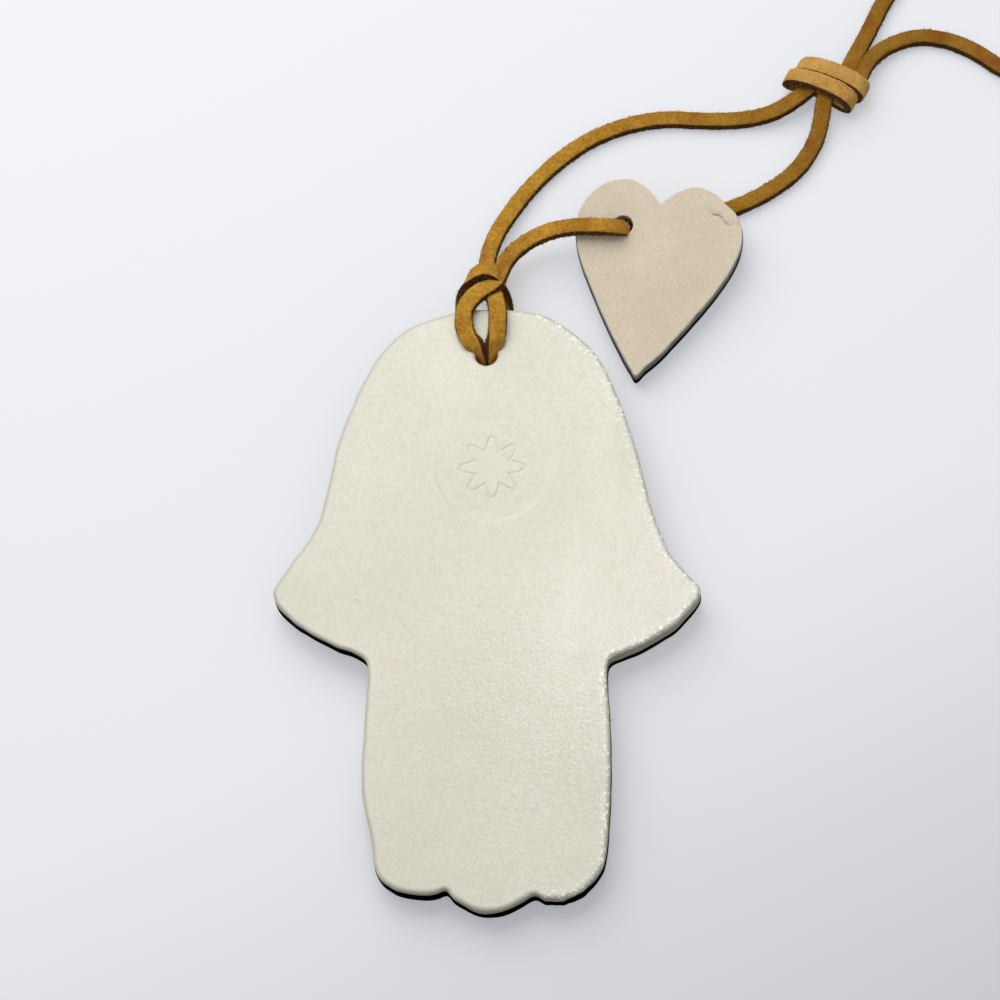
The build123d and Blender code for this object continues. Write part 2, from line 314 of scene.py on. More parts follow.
# %% Hanging loop
loop_route = [
    (61.0, 88.6, 2.9), (62.6, 91.4, 2.9), (64.4, 95.0, 2.7), (66.1, 98.6, 1.6),
    (68.2, 103.0, 1.0), (71.4, 109.8, 1.0), (79.0, 120.6, 1.0), (93.0, 128.0, 1.0),
    (108.6, 124.6, 1.0), (117.4, 112.0, 1.0), (116.0, 96.6, 1.0), (105.0, 87.4, 1.0),
    (94.0, 91.8, 1.0), (86.4, 98.6, 1.0), (78.2, 101.3, 1.0), (71.8, 99.4, 1.2),
    (67.4, 95.4, 2.2), (65.3, 90.8, 2.9), (64.4, 88.6, 2.9),
]
hanging_loop, loop_line = flat_lace("hanging_loop_suede", loop_route, [UP] * len(loop_route), seed=37)

# %% [markdown]
# ## The hitch
# The folded lace was pushed through the hand's hole and pulled up over the dome, and the two strands were
# drawn through its bend: a cow hitch. One continuous strip shows it best. It starts under the bend, runs down
# the back as one leg, turns in the hole, comes up under the slab, makes the bend over both legs and returns
# the same way.

# %% Hitch
DOWN = (0, 0, -1)
hitch_route = [
    ((-2.6, 52.6, 4.4), UP), ((-2.7, 49.8, 5.2), UP),
    ((-3.5, 47.0, 7.2), (0, 0.5, 1)), ((-6.2, 45.05, 9.1), UP),
    ((-8.3, 42.5, 9.1), UP), ((-8.9, 40.0, 8.95), UP),
    ((-8.2, 36.4, 8.9), (-0.2, -0.1, 1)), ((-6.5, 34.6, 8.6), (-0.5, -0.6, 0.7)),
    ((-5.3, 33.4, 7.2), (-0.66, -0.74, 0.1)), ((-5.3, 33.0, 4.6), (-0.7, -0.7, 0)),
    ((-5.6, 33.0, 2.0), (-0.5, -0.8, -0.4)), ((-6.6, 33.6, 1.0), DOWN),
    ((-7.9, 37.4, 1.0), DOWN), ((-8.7, 41.6, 1.0), DOWN),
    ((-9.2, 45.4, 1.5), (-0.4, 0.6, -0.7)), ((-9.0, 47.7, 4.0), (-0.7, 0.7, 0)),
    ((-7.5, 49.6, 6.2), (-0.4, 0.5, 0.8)), ((-5.7, 50.4, 7.2), (0, 0.35, 1)),
    ((-4.4, 50.4, 7.2), (0, 0.35, 1)), ((-2.7, 49.6, 6.2), (0.4, 0.5, 0.8)),
    ((-2.0, 47.6, 3.9), (0.7, 0.7, 0)), ((-1.7, 45.2, 1.5), (0.4, 0.6, -0.7)),
    ((-1.7, 41.6, 1.0), DOWN), ((-2.0, 37.4, 1.0), DOWN),
    ((-3.0, 33.8, 1.0), DOWN), ((-3.8, 33.0, 2.0), (0.5, -0.8, -0.4)),
    ((-4.0, 33.0, 4.6), (0.7, -0.7, 0)), ((-4.0, 33.4, 7.2), (0.66, -0.74, 0.1)),
    ((-3.3, 34.6, 8.6), (0.5, -0.6, 0.7)), ((-2.7, 36.4, 8.85), (0.2, -0.1, 1)),
    ((-2.5, 40.0, 8.9), UP), ((-2.6, 41.9, 8.9), UP),
    ((-3.1, 44.4, 7.8), (0, 0.5, 1)), ((-3.8, 46.4, 5.6), (0, 0.5, 1)),
    ((-4.5, 49.0, 5.1), UP), ((-4.95, 51.2, 4.7), UP),
    ((-4.95, 52.8, 4.4), UP),
]
hitch_points, hitch_faces = zip(*hitch_route)
hitch_width = [pinched_width if 32.5 < y < 34.0 else 3.2 * mm for _, y, _ in hitch_points]
hitch, _ = flat_lace("hitch_suede", hitch_points, hitch_faces, seed=41, width=hitch_width)

# %% [markdown]
# ## The knot
# Both strands are tied together in one overhand knot, which shows as two flat turns side by side round the
# strands inside. The whole knot could be traced, but what is inside never shows. A strip that winds twice
# round a flat oval gives the turns, with its two ends tucked in.

# %% Knot
knot_middle = np.array((59.7, 90.4))
knot_turn = math.radians(-28.0)
knot_half, knot_height = 6.9, 2.95
over = [(-6.9, 2.9), (-5.4, 4.75), (0.0, 4.95), (5.4, 4.75), (6.9, 2.9)]
under = [(5.6, 1.0), (0.0, 0.95), (-5.6, 1.0)]
knot_winding = [(2.0, 3.0), (-5.6, 1.1), *over, *under, *over, (5.6, 1.1), (-2.0, 3.0)]
beside = 1.62
knot_shift = np.array([beside] * 7 + [0.9, 0.0, -0.9] + [-beside] * 7)
wx, wz = np.array(knot_winding).T
knot_shift = knot_shift - np.where(wx < 0, 1.1, 0.5) * (wx / knot_half) ** 2
wx = wx * 0.95 + knot_shift * 0.3
knot_along = np.array((math.cos(knot_turn), math.sin(knot_turn)))
knot_aside = np.array((-math.sin(knot_turn), math.cos(knot_turn)))
knot_plan = knot_middle + wx[:, None] * knot_along + knot_shift[:, None] * knot_aside
knot_route = np.column_stack((knot_plan, wz))
outward = np.column_stack((wx[:, None] * knot_along * 0.25, (wz - knot_height) * 0.6))
knot, _ = flat_lace("knot_suede", knot_route, outward, seed=53, width=3.3 * mm)

# %% [markdown]
# ## Outlines cut by hand
# The hand and the heart were cut from a rolled slab with a knife, so their outlines are smooth but never
# quite even. A curve traced in Edit Mode would do, but here the wobble of the knife is a number. Points along
# each outline are joined by a curve and rounded a little, then spaced evenly, so that the grid built on them
# has faces of one size.


# %% Outline helpers
def bell_average(points, step, width):
    """Points of a closed curve averaged under a bell: each wave times exp(-2 (pi width / wave)^2)."""
    keep = np.exp(-2 * (np.pi * np.fft.fftfreq(len(points), step) * width) ** 2)[:, None]
    return np.fft.ifft(np.fft.fft(points, axis=0) * keep, axis=0).real


def outward_normals(outline, calm=0.0):
    """The direction square to a closed anticlockwise outline, averaged along calm millimetres of it."""
    ahead = unit(np.roll(outline, -1, axis=0) - np.roll(outline, 1, axis=0))
    out = np.stack((ahead[:, 1], -ahead[:, 0]), axis=-1)
    return unit(bell_average(out, np.linalg.norm(outline[1] - outline[0]), calm))


def cut_outline(points, count, softness, seed, shake):
    """A closed curve through points, evenly spaced, softened by a bell-shaped average and shaken."""
    p = np.array(points, float)
    before, after, beyond = np.roll(p, 1, axis=0), np.roll(p, -1, axis=0), np.roll(p, -2, axis=0)
    t = np.linspace(0, 1, 24, endpoint=False)[None, :, None]
    bend = (
        2 * p[:, None]
        + (after - before)[:, None] * t
        + (2 * before - 5 * p + 4 * after - beyond)[:, None] * t**2
        + (3 * p - before - 3 * after + beyond)[:, None] * t**3
    ) / 2
    curve = bend.reshape(-1, 2)
    curve = np.concatenate((curve, curve[:1]))
    along = distances(curve)
    even = np.linspace(0, along[-1], count * 4, endpoint=False)
    fine = np.stack([np.interp(even, along, curve[:, axis]) for axis in range(2)], axis=-1)
    outline = bell_average(fine, along[-1] / (count * 4), softness)[::4]
    arc = np.arange(count) / count * 2 * np.pi
    wobble = shake * ripples(np.cos(arc) * along[-1] / 6, np.sin(arc) * along[-1] / 6, seed, 5.0)
    return outline + outward_normals(outline) * wobble[:, None]


# %% Outlines
hand_points = [
    (-1.2, 111.8), (-3.9, 111.7), (-9.2, 110.4), (-14.5, 108.2), (-17.7, 105.3), (-19.9, 102.5),
    (-22.5, 97.5), (-24.4, 92.8), (-26.0, 88.3), (-27.2, 83.7), (-28.1, 78.5), (-29.8, 71.2), (-32.3, 66.4),
    (-34.4, 63.6), (-35.2, 62.1), (-37.4, 58.6), (-37.4, 56.9), (-36.4, 55.0), (-32.5, 51.3), (-27.0, 48.0),
    (-23.3, 46.5), (-21.0, 45.0), (-20.6, 42.5), (-20.7, 39.2), (-20.9, 36.5), (-21.3, 28.4), (-21.4, 23.9),
    (-21.0, 19.5), (-19.5, 12.4), (-19.0, 8.4), (-18.0, 6.1), (-16.2, 4.7), (-15.0, 4.1), (-10.8, 3.3),
    (-8.4, 3.6), (-6.9, 4.1), (-5.7, 2.7), (-4.0, 1.6), (-2.3, 0.7), (-0.4, 0.2), (1.9, 0.3), (3.7, 0.8),
    (5.7, 1.8), (7.3, 2.8), (8.3, 3.1), (9.5, 2.4), (11.3, 2.0), (13.5, 2.2), (15.3, 2.9), (16.7, 3.8),
    (19.2, 6.7), (20.3, 9.8), (20.8, 16.1), (21.2, 22.2), (21.3, 29.3), (21.1, 36.5), (20.9, 40.1),
    (21.3, 44.1), (23.6, 45.5), (25.8, 46.3), (28.1, 47.4), (30.2, 48.7), (32.7, 50.2), (34.8, 52.3),
    (36.3, 54.2), (37.2, 55.5), (37.5, 56.3), (37.3, 57.3), (35.7, 59.0), (34.1, 61.0), (32.0, 64.2),
    (30.0, 69.7), (28.5, 75.5), (27.1, 82.2), (25.2, 89.0), (22.6, 96.5), (20.0, 102.0), (16.5, 106.0),
    (12.1, 109.4), (9.2, 110.7), (5.8, 111.4), (2.5, 111.7),
]
heart_points = [
    (0.0, 0.0), (1.5, 2.0), (4.0, 5.1), (6.4, 8.9), (9.1, 13.3), (11.8, 18.1), (13.7, 22.0), (15.1, 25.5),
    (15.8, 28.7), (15.8, 31.7), (15.1, 33.9), (14.0, 36.0), (12.3, 37.5), (10.2, 39.4), (8.6, 40.2),
    (6.1, 40.8), (3.4, 39.6), (1.4, 37.9), (-0.1, 36.4), (-1.4, 38.0), (-3.5, 39.8), (-5.3, 40.7),
    (-7.2, 40.9), (-9.8, 40.1), (-11.8, 38.6), (-13.8, 35.8), (-14.7, 33.0), (-14.8, 29.6), (-14.4, 26.5),
    (-13.1, 22.7), (-11.2, 18.8), (-8.9, 14.3), (-6.6, 10.1), (-3.2, 4.4), (-1.2, 1.5),
]
hand_outline = cut_outline(hand_points, 600, 0.3, 5, 0.03)
heart_foot, heart_stretch = 1.7, 0.948
heart_points = [(x, heart_foot + y * heart_stretch) for x, y in heart_points]
heart_outline = cut_outline(heart_points, 560, 0.25, 6, 0.02)
chipped = soft_step(hand_outline[:, 0], 8.6, 9.4) * (1 - soft_step(hand_outline[:, 0], 16.0, 18.0))
chipped = (chipped * (hand_outline[:, 1] < 6))[:, None]
hand_outline = hand_outline + chipped * outward_normals(hand_outline) * (
    0.1 * ripples(hand_outline[:, :1], hand_outline[:, 1:], 61, 2.0) - 0.1
)
for name, outline in (("hand", hand_outline), ("heart", heart_outline)):
    print(name, "outline is", np.ptp(outline, axis=0).round(1), "mm wide and long")

# %% [markdown]
# ## A slab as one surface
# A cut slab is one closed skin: the front face, a bevel, the wall, a rounded edge and the back face. Solidify
# and Bevel on a flat outline could make it, but its face would be one flat polygon with nothing to shape.
# This grid has a column for each outline point. Its rows follow the profile: rings drawn in from the outline
# by the profile's inset, and rings that shrink towards a middle point. Near that point the rings turn into
# circles, so round marks come out clean.


# %% Slab grid
corner_calm = 1.5


def shrinking_rings(ring, middle, shares, round_radius):
    """Rings inside an outer ring: middle + reach * share, which turn into circles near the middle."""
    reach = ring - middle
    distance = np.linalg.norm(reach, axis=1, keepdims=True)
    q = np.array(shares)[:, None, None]
    free = soft_step(q, 0.25, 0.6)
    return middle + reach / distance * q * (distance * free + round_radius * (1 - free))


def slab_grid(outline, profile, middle, round_radius, front_shares, back_shares):
    """Each point's place in plan and its height: the front's rings, the profile's rings, the back's rings."""
    out = outward_normals(outline, corner_calm)
    rings = [outline - out * inset for inset, _ in profile]
    front = shrinking_rings(rings[0], middle, front_shares, round_radius)
    back = shrinking_rings(rings[-1], middle, back_shares, round_radius)
    plan = np.concatenate((front, np.array(rings), back))
    heights = np.pad([z for _, z in profile], (len(front_shares), len(back_shares)), mode="edge")
    return plan, np.broadcast_to(heights[:, None], plan.shape[:2])


def edge_profile(thickness, front_bevel, back_round, start):
    """(inset, height) pairs from the front face's rim up the wall and over the rounded back edge."""
    low = [(front_bevel * 2.2, start), (front_bevel * 1.3, start), (front_bevel, start)]
    low += [(front_bevel * 0.45, start + front_bevel * 0.3), (0.1, start + front_bevel * 0.8)]
    wall = [(0.0, z) for z in np.linspace(start + front_bevel, thickness - back_round, 9)]
    arc = np.linspace(0, np.pi / 2, 9)[1:]
    edge = [(back_round * (1 - math.cos(a)), thickness - back_round * (1 - math.sin(a))) for a in arc]
    return low + wall + edge + [(back_round * 1.6, thickness), (back_round * 2.4, thickness)]


def placed(x, y, z, tilt, turn, place):
    """A slab's own points leaned back by tilt, turned by turn and moved to its place, in metres."""
    y, z = y * math.cos(tilt) - z * math.sin(tilt), y * math.sin(tilt) + z * math.cos(tilt)
    x, y = x * math.cos(turn) - y * math.sin(turn), x * math.sin(turn) + y * math.cos(turn)
    return (np.stack((x, y, z), axis=-1) + np.array(place)) * mm


# %% [markdown]
# ## The hand
# The back of the hand is nearly flat, but rolled clay keeps soft hollows, the drag of the knife near its edge
# and a round press mark in the palm. A bump in the material could fake them, but only real heights are there
# in the exported mesh. They are added to the flat face by formulas of x and y: long ripples for the hollows,
# short ones near the rim, a shallow disc for the press mark and a plain ring and rosette inside it.

# %% Sizes and marks of the hand
hand_tilt = math.asin(1.9 / 100.5)
hand_place = (-4.7, -69.4, 0.0)
hand_placing = (hand_tilt, 0.0, hand_place)
hand_thickness, hand_bevel, hand_rounding = 5.8, 0.6, 0.5
hand_circles = 34.0
mark_x, mark_y = 1.1, 80.6
mark_radius, ring_radius = 10.5, 8.3
glaze_thickness = 0.35


def hand_heights(x, y, from_edge):
    """Height to add to the back face: hollows, knife drag at the rim, press mark, ring and rosette.

    Ring and rosette are grooves, depth * exp(-((r - radius) / width)^2), and the rosette's radius is
    3.4 + 2.4 cos^2 of four times the angle, which makes eight petals.
    """
    hollows = 0.04 * ripples(x, y, 71, 30.0) + 0.01 * ripples(x, y, 72, 9.0)
    drag = 0.012 * ripples(x, y, 73, 2.6) * (1 - soft_step(from_edge, 0.5, 5.0))
    dx, dy = x - mark_x, y - mark_y
    r = np.hypot(dx, dy)
    angle = np.arctan2(dy, dx)
    deeper = 0.06 + 0.18 * soft_step(-dy, -4.0, 9.0)
    disc = -deeper * (1 - soft_step(r, mark_radius - 0.7, mark_radius))
    ring = -0.05 * np.exp(-(((r - ring_radius) / 0.28) ** 2))
    petal = 3.4 + 2.4 * np.cos(4 * angle) ** 2
    rosette = -0.15 * np.exp(-(((r - petal) / 0.3) ** 2))
    return hollows + drag + disc + ring + rosette


def under_left_thumb(x, y, reach):
    """1 under the left thumb and 0 beyond reach millimetres from there: exp(-(distance / reach)^4)."""
    return np.exp(-((np.hypot(x + 28.0, y - 48.5) / reach) ** 4))


def thumb_undercut(x, y, z):
    """How far the cut under the left thumb slants inwards: most at the front face, nothing at the back."""
    return 0.6 * np.clip(1 - z / hand_thickness, 0, 1) * under_left_thumb(x, y, 8.0)


def finger_grooves(x, y):
    """How deep the front face's two grooves are: a rounded trough up from each notch of the fingers."""
    depth = np.zeros(x.shape)
    for notch_x, lean in ((-6.9, -0.026), (8.3, 0.026)):
        off = x - (notch_x - lean * y)
        depth += 0.8 * np.exp(-((off / 0.9) ** 2)) * (1 - soft_step(y, 42.0, 48.0))
    return depth


# %% The hand's skin
hand_middle = np.array((mark_x, mark_y))
hand_back_shares = np.concatenate((np.linspace(0.985, 0.34, 62), np.linspace(0.33, 0.008, 36)))
hand_front_shares = np.linspace(0.01, 0.985, 34)
hand_profile = edge_profile(hand_thickness, hand_bevel, hand_rounding, glaze_thickness * 0.6)
plan, heights = slab_grid(
    hand_outline, hand_profile, hand_middle, hand_circles, hand_front_shares, hand_back_shares
)
hx, hy = plan[..., 0], plan[..., 1]
toward_back = soft_step(heights, 4.6, 5.6)
toward_front = 1 - soft_step(heights, 0.2, 0.9)
edge_gap = np.linalg.norm(plan - hand_outline[None], axis=-1)
hand_z = heights + toward_back * hand_heights(hx, hy, edge_gap) + toward_front * finger_grooves(hx, hy)
hy = hy + thumb_undercut(hx, hy, hand_z)
# Where the wall is painted greyer: partly the cut clay's own colour, partly painted shade.
wall_and_shade_share = (1 - soft_step(edge_gap, 0.25, 1.1)) * (1 - toward_back * 0.5)
# Where white specks are painted as glints along the right rim's back edge.
rim_painted_glint_share = 0.8 * (1 - soft_step(edge_gap, 0.4, 2.8)) * soft_step(hx, 0.0, 14.0) * toward_back

# Each faint spot is x, y, half its width and half its height.
spots = ((10.9, 3.9, 0.6, 0.3), (-6.7, 3.9, 0.9, 0.5), (-22.8, 55.9, 0.4, 0.35))
stains = sum(
    np.exp(-((((hx - x) / wide) ** 2 + ((hy - y) / high) ** 2) ** 1.5)) for x, y, wide, high in spots
)
hand = closed_mesh(
    "hand_stoneware",
    placed(hx, hy, hand_z, *hand_placing),
    {"wall": wall_and_shade_share, "stain": stains * toward_back, "rim": rim_painted_glint_share},
)

# %% [markdown]
# ## The glaze coat
# The front was glazed dark. The glaze is a skin about a third of a millimetre thick that covers the front,
# wraps the edge and stops in a ragged line part way up the wall, where it was wiped. A dark colour on the
# clay could stand for it, but a coat has a thickness and an edge that light finds. It is a thin closed shell:
# an outer skin just proud of the clay, rolled over at the ragged line, and an inner skin inside the clay.


# %% Glaze coat
def glaze_coat(name, outline, middle, round_radius, bevel, climb, seed, grooves, undercut, placing):
    """A shell from the front face's middle out, up the wall to an uneven height, over and back inside."""
    count = len(outline)
    arc = np.arange(count) / count * 2 * np.pi
    uneven = ripples(np.cos(arc) * 30, np.sin(arc) * 30, seed, 6.0)
    top = climb(outline[:, 0], outline[:, 1]) * (1 + 0.12 * uneven)
    out = outward_normals(outline, corner_calm)
    proud, inner = 0.1, 0.25
    steps = [(bevel * 2.2, 0.0, 0), (bevel, 0.0, 0), (bevel * 0.45, bevel * 0.3, 0), (0.0, bevel * 0.8, 0)]
    steps += [(-proud, share, 1) for share in (0.45, 0.65, 0.85, 0.95)]
    steps += [(0.0, 1.0, 1), (inner, 0.95, 1), (inner, 0.6, 1)]
    steps += [(bevel * 1.2, glaze_thickness, 0), (bevel * 2.2, glaze_thickness, 0)]
    rings = np.array([outline - out * inset for inset, _, _ in steps])
    levels = np.array([top * level if rising else np.full(count, level) for _, level, rising in steps])
    shares = np.linspace(0.01, 0.985, 40)
    front = shrinking_rings(rings[0], middle, shares, round_radius)
    back = shrinking_rings(rings[-1], middle, shares[::-1], round_radius)
    plan = np.concatenate((front, rings, back))
    low = np.zeros((len(shares), count))
    levels = np.concatenate((low, levels, low + glaze_thickness))
    x, y = plan[..., 0], plan[..., 1]
    from_edge = np.linalg.norm(plan - outline[None], axis=-1)
    z = levels + grooves(x, y) * soft_step(from_edge, bevel * 0.4, bevel * 1.2)
    y = y + undercut(x, y, z)
    return closed_mesh(name, placed(x, y, z, *placing), {"level": levels})


# %% Where the glaze ends
def no_change(x, *others):
    """No grooves, or no undercut: 0 everywhere."""
    return np.zeros(x.shape)


def hand_climb(x, y):
    """How far the glaze runs up the hand's wall: most under the left thumb, least up the sides."""
    sides = soft_step(y, 9.0, 16.0) * (1 - soft_step(y, 40.0, 44.0))
    right_thumb = soft_step(x, 19.0, 23.0) * soft_step(y, 38.0, 44.0)
    return 3.7 + 1.3 * under_left_thumb(x, y, 8.5) - 2.9 * sides - 1.3 * right_thumb


def heart_climb(x, y):
    """How far the glaze runs up the heart's wall: nearly to the back all round."""
    return (3.55 + 0.15 * soft_step(x, -4.0, 8.0)) * (1 - 0.25 * soft_step(y, 31.0, 37.0))


hand_glaze = glaze_coat(
    "hand_front_glaze_coat", hand_outline, hand_middle, hand_circles, hand_bevel, hand_climb, seed=81,
    grooves=finger_grooves, undercut=thumb_undercut, placing=hand_placing,
)

# %% [markdown]
# ## The heart
# The heart is thinner and was left bare on the back, pressed on cloth while wet, and one lobe has a small
# fold with a fine crack beside it. It could be sculpted, but the same slab surface with its own heights makes
# hand and heart look like work of the same maker.

# %% Sizes and marks of the heart
heart_thickness, heart_bevel, heart_rounding = 4.2, 0.5, 0.35
heart_circles = 13.0
heart_tilt = math.asin(2.1 / 30.6)
heart_turn = math.radians(-8.9)
heart_place = (21.9, 28.3, -0.8 * math.sin(heart_tilt))
heart_placing = (heart_tilt, heart_turn, heart_place)
heart_middle = np.array((0.3, 25.0))


def from_fold(x, y):
    """How far off the fold's line a point is, and how far along it from its middle: a turn by 30 degrees."""
    return (x - 11.4) * 0.5 + (y - 35.6) * 0.87, (x - 11.4) * 0.87 - (y - 35.6) * 0.5


def heart_crack(x, y):
    """How far a point is inside the fine crack beside the fold, from 0 to 1: a wavy line 0.25 mm wide."""
    off, run = from_fold(x, y)
    off = off + 0.9 + 0.25 * np.sin(x * 2.1)
    return np.exp(-((off / 0.22) ** 2)) * np.exp(-(((run - 0.6) / 2.6) ** 4))


def heart_heights(x, y):
    """Height to add to the heart's back: soft hollows, and the fold and its crack on the right lobe."""
    hollows = 0.05 * ripples(x, y, 91, 14.0) + 0.02 * ripples(x, y, 92, 4.0)
    off, run = from_fold(x, y)
    fold = 0.22 * np.exp(-((off / 0.7) ** 2)) * np.exp(-((run / 3.2) ** 4))
    return hollows + fold - 0.25 * heart_crack(x, y)


# %% The heart's skin
heart_front_shares = np.linspace(0.02, 0.98, 20)
heart_back_shares = np.linspace(0.985, 0.01, 72)
heart_profile = edge_profile(heart_thickness, heart_bevel, heart_rounding, glaze_thickness * 0.6)
plan, heights = slab_grid(
    heart_outline, heart_profile, heart_middle, heart_circles, heart_front_shares, heart_back_shares
)
hx, hy = plan[..., 0], plan[..., 1]
toward_back = soft_step(heights, 3.5, 4.1)
edge_gap = np.linalg.norm(plan - heart_outline[None], axis=-1)
heart_z = heights + toward_back * heart_heights(hx, hy)
heart = closed_mesh(
    "heart_biscuit",
    placed(hx, hy, heart_z, *heart_placing),
    {
        "wall": (1 - soft_step(edge_gap, 0.1, 0.6)) * (1 - toward_back * 0.7),
        "crack": heart_crack(hx, hy) * toward_back,
    },
)
heart_glaze = glaze_coat(
    "heart_front_glaze_coat", heart_outline, heart_middle, heart_circles, heart_bevel, heart_climb, seed=83,
    grooves=no_change, undercut=no_change, placing=heart_placing,
)

# %% [markdown]
# ## The holes
# Each slab was pierced while soft, so the rim of its hole is rounded inwards. The hole could be worked into
# the grid, but its rings already follow the outline. A turned cutter with a flared end at each face makes
# such a hole in one Boolean cut, in the clay and in the glaze alike.


# %% Holes
def pierce(pieces, x, y, bore, rim, thickness, placing):
    """Cuts pieces with a spool: radius = bore / 2 + rim - sqrt(rim^2 - (rim - depth)^2) near each face."""
    depth = np.concatenate((np.linspace(0, rim, 7), np.linspace(thickness - rim, thickness, 7)))
    near = np.minimum(np.minimum(depth, thickness - depth), rim)
    radius = bore / 2 + rim - np.sqrt(np.maximum(rim**2 - (rim - near) ** 2, 0))
    beyond, flare = 3.0, bore / 2 + rim + 0.6
    depth = np.concatenate(([-beyond], depth, [thickness + beyond]))
    radius = np.concatenate(([flare], radius, [flare]))
    angle = np.linspace(0, 2 * np.pi, 64, endpoint=False)
    across = x + radius[:, None] * np.cos(angle)
    up = y + radius[:, None] * np.sin(angle)
    down = np.broadcast_to(depth[:, None], up.shape)
    cutter = closed_mesh("hole_cutter", placed(across, up, down, *placing))
    for piece in pieces:
        cut = piece.modifiers.new("hole", "BOOLEAN")
        cut.object = cutter
        cut.solver = "EXACT"
        bpy.context.view_layer.update()
        shape = bpy.data.meshes.new_from_object(piece.evaluated_get(bpy.context.evaluated_depsgraph_get()))
        piece.modifiers.clear()
        piece.data = shape
        print(piece.name, "pierced,", len(shape.polygons), "faces")
    bpy.data.objects.remove(cutter)


pierce([hand, hand_glaze], 0.0, 102.6, bore=4.1, rim=0.3, thickness=hand_thickness, placing=hand_placing)
pierce(
    [heart, heart_glaze], -6.3, 31.1, bore=3.75, rim=0.18, thickness=heart_thickness, placing=heart_placing
)

# %% [markdown]
# ## Finishes
# A finish is a small recipe of nodes: a colour that varies, a gloss and a height for fine relief. Nodes can
# be wired by hand in the Shader Editor, and this helper writes the same wiring in short lines. Patterns read
# Object coordinates, which are metres here, so a noise scale of 1000 has features about a millimetre across.
# Where a finish must follow the shape, it reads a fact that the grid stored on its points.


# %% Screen colours
def linear(red, green, blue):
    """Scene colour of a screen colour, each from 0 to 255, and opaque."""
    c = np.array((red, green, blue)) / 255
    return *np.where(c <= 0.04045, c / 12.92, ((c + 0.055) / 1.055) ** 2.4).tolist(), 1.0


# %% Finish helpers
class Finish:
    """A material's recipe. Method add gives back a new node, and noise to relief give its output."""

    def __init__(self, name):
        self.material = bpy.data.materials.new(name)
        self.material.use_nodes = True
        self.tree = self.material.node_tree
        self.shader = self.tree.nodes["Principled BSDF"]
        self.place = self.tree.nodes.new("ShaderNodeTexCoord").outputs["Object"]

    def join(self, source, socket):
        """Links another node's output to a socket, or gives the socket a value of its own."""
        if isinstance(source, bpy.types.NodeSocket):
            self.tree.links.new(source, socket)
        else:
            socket.default_value = source

    def add(self, kind, links=None, **settings):
        node = self.tree.nodes.new(kind)
        for key, value in settings.items():
            setattr(node, key, value)
        for socket, source in (links or {}).items():
            self.join(source, node.inputs[socket])
        return node

    def noise(self, scale, detail=4.0, rough=0.55, place=None, warp=0.0):
        links = {"Vector": place or self.place, "Scale": scale, "Detail": detail, "Roughness": rough}
        links["Distortion"] = warp
        return self.add("ShaderNodeTexNoise", links).outputs["Fac"]

    def stretch(self, turn, scale=(1, 1, 1)):
        return self.add(
            "ShaderNodeMapping", {"Vector": self.place, "Scale": scale, "Rotation": (0, 0, turn)}
        ).outputs["Vector"]

    def fact(self, name):
        return self.add("ShaderNodeAttribute", attribute_name=name).outputs["Fac"]

    def spread(self, source, low, high, to_low=0.0, to_high=1.0):
        links = {"Value": source, "From Min": low, "From Max": high, "To Min": to_low, "To Max": to_high}
        return self.add("ShaderNodeMapRange", links).outputs["Result"]

    def maths(self, a, b, way="ADD"):
        return self.add("ShaderNodeMath", {0: a, 1: b}, operation=way).outputs[0]

    def blend(self, share, a, b):
        return self.add("ShaderNodeMix", {0: share, 6: a, 7: b}, data_type="RGBA").outputs[2]

    def tinge(self, base, pattern, start, end, share, colour):
        """Blends a screen colour into base: none where the pattern is at start, this share of it at end."""
        return self.blend(self.spread(pattern, start, end, 0.0, share), base, linear(*colour))

    def relief(self, height, strength, distance, below=None):
        links = {"Height": height, "Strength": strength, "Distance": distance}
        if below:
            links["Normal"] = below
        return self.add("ShaderNodeBump", links).outputs["Normal"]

    def put(self, **inputs):
        for socket, source in inputs.items():
            self.join(source, self.shader.inputs[socket.replace("_", " ")])
        print(self.material.name, "has", len(self.tree.nodes), "nodes")


# %% [markdown]
# ## Suede
# Suede is the fibrous inner side of leather: matt, warm brown, paler where the fibres stand up, and darker
# towards the hanging loop. An image of suede could be wrapped on it, but noises of three sizes make its
# patches, nap and fibres at any zoom. The strip's own fact "side" says where its cut edges are. They are
# painted dark red-brown, partly their own darker colour and partly painted shade. A little sheen gives the
# soft pale edge that loose fibres have.

